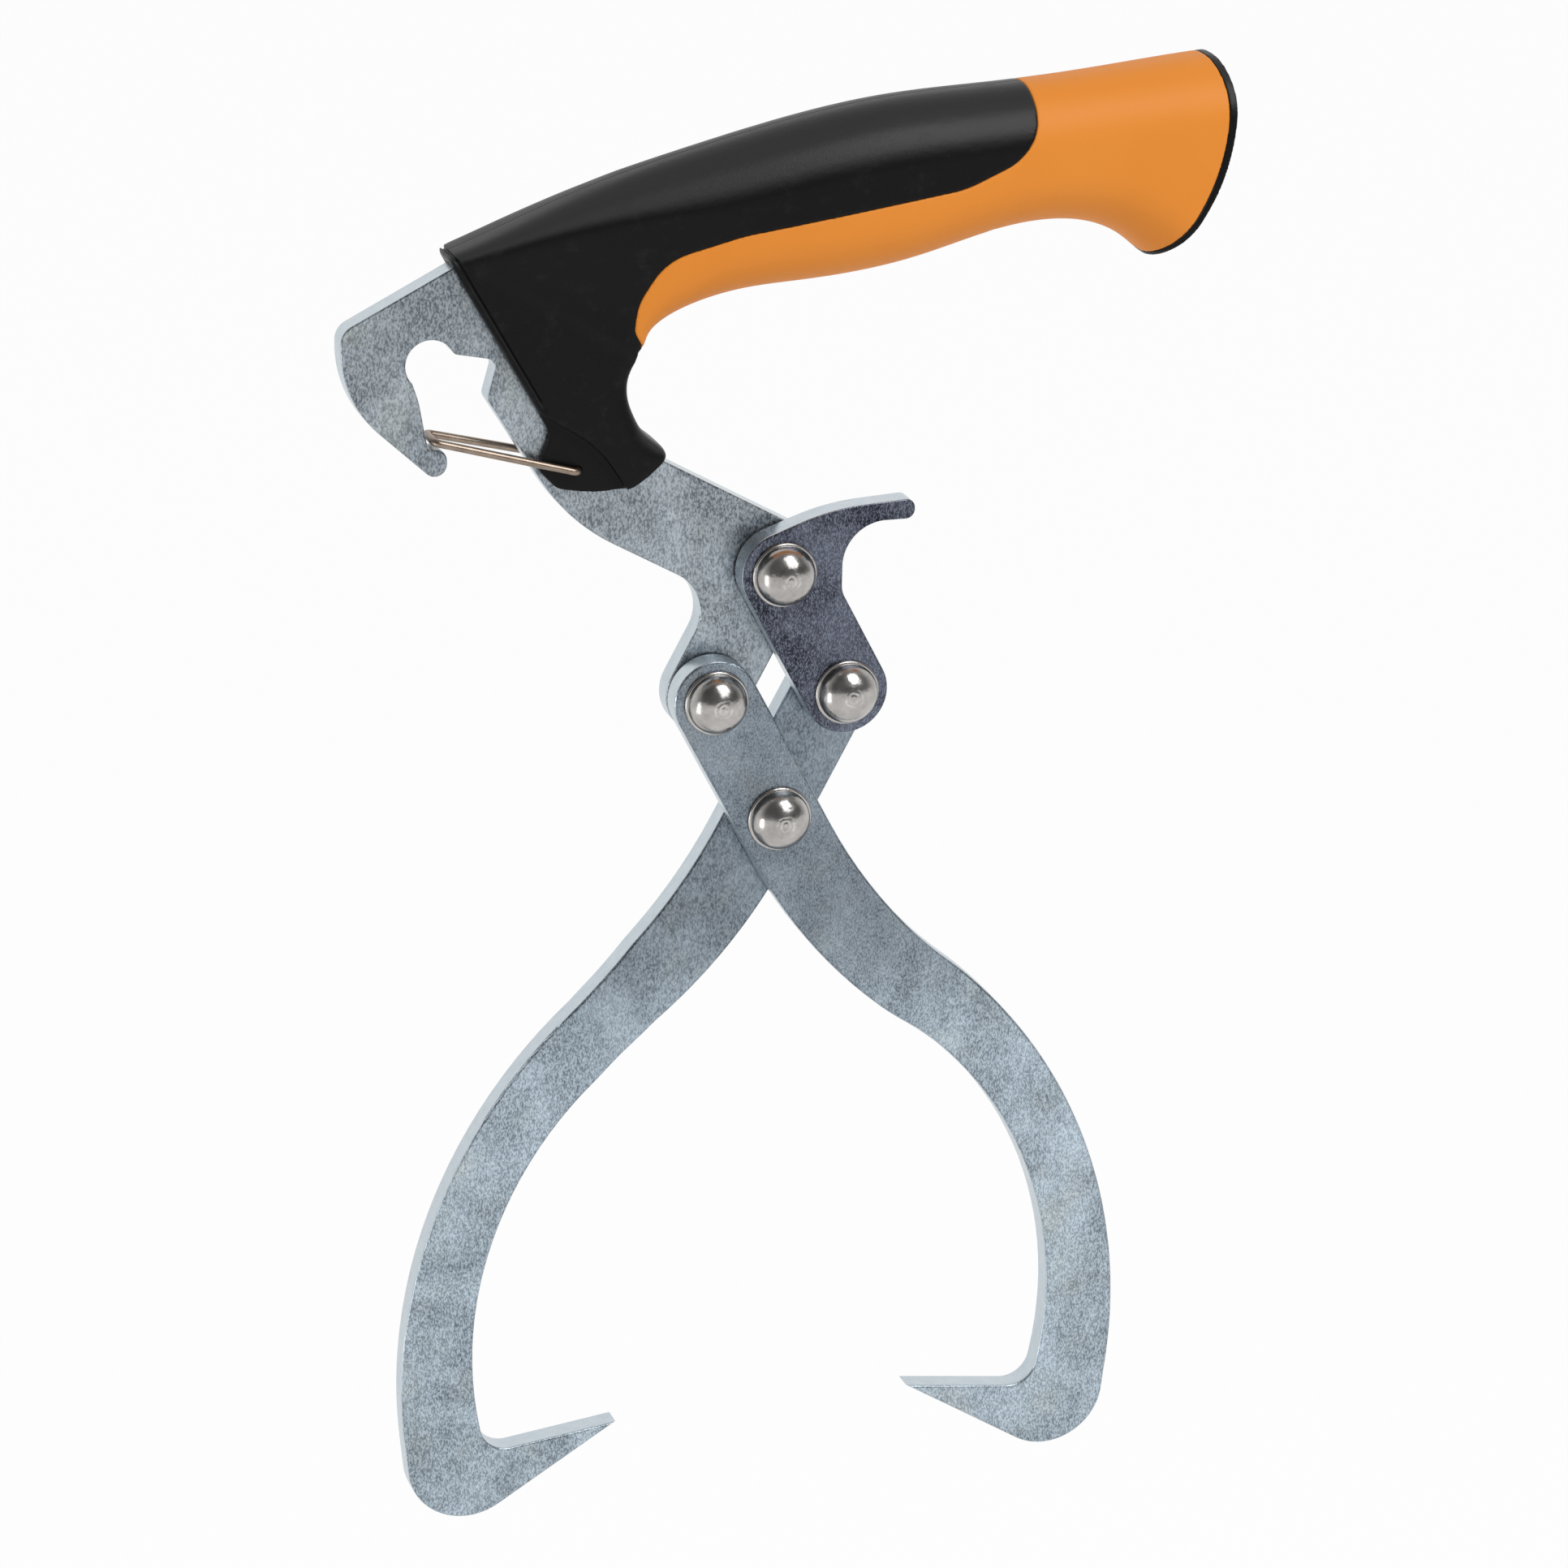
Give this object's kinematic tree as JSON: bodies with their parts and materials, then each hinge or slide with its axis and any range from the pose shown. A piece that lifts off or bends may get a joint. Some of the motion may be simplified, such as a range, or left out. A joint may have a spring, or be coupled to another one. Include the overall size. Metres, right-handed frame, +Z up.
{
  "type": "log tongs",
  "caption": "Hand tongs for lifting logs: crossed hooked jaws on a riveted diamond linkage with a finger lever, a snap hook with a wire gate and an orange and black grip.",
  "frame": {"origin": "middle of the grip, in the middle plane of the frame plate", "axes": "+X to the flared end of the grip, +Y from the lever side to the hook plate's back, +Z up, away from the jaws"},
  "size_m": [0.2061, 0.031, 0.3449],
  "materials": {
    "zinc_steel": "zinc plated, satin",
    "lever_steel": "zinc plated, sparkling",
    "rivet_steel": "polished",
    "spring_wire": "drawn, semi-gloss",
    "orange_plastic": "matte",
    "black_rubber": "satin",
    "black_plastic": "satin"
  },
  "bodies": {
    "frame": {"frame_plate": "zinc_steel", "handle_core": "orange_plastic", "soft_grip": "black_rubber", "end_cap": "black_plastic", "lever_rivet": "rivet_steel", "lever_washer": "rivet_steel", "right_jaw_rivet": "rivet_steel", "right_jaw_washer": "rivet_steel"},
    "lever": {"finger_lever": "lever_steel", "left_jaw_rivet": "rivet_steel", "left_jaw_washer": "rivet_steel"},
    "jaw_right": {"right_jaw": "zinc_steel", "crossing_rivet": "rivet_steel", "crossing_washer": "rivet_steel"},
    "jaw_left": {"left_jaw": "zinc_steel"},
    "gate": {"gate_wire": "spring_wire"}
  },
  "joints": [
    {"name": "right_jaw_pivot", "type": "hinge", "parent": "frame", "child": "jaw_right", "pos_m": [-0.04273, -0.0034, -0.11758], "axis": [0, 1, 0], "range_deg": [-50, 18]},
    {"name": "lever_pivot", "type": "hinge", "parent": "frame", "child": "lever", "pos_m": [-0.027, -0.0034, -0.088], "axis": [0, 1, 0], "range_deg": [-50, 18]},
    {"name": "left_jaw_pivot", "type": "hinge", "parent": "lever", "child": "jaw_left", "pos_m": [-0.01127, -0.0034, -0.11758], "axis": [0, 1, 0], "range_deg": [-18, 50]},
    {"name": "gate_pivot", "type": "hinge", "parent": "frame", "child": "gate", "pos_m": [-0.0748, 0, -0.0613], "axis": [0, 1, 0], "range_deg": [0, 34], "stiffness_Nm_per_rad": 0.05}
  ],
  "couplings": [
    {"joint": "lever_pivot", "follows": "right_jaw_pivot", "ratio": 1},
    {"joint": "left_jaw_pivot", "follows": "right_jaw_pivot", "ratio": -1}
  ]
}
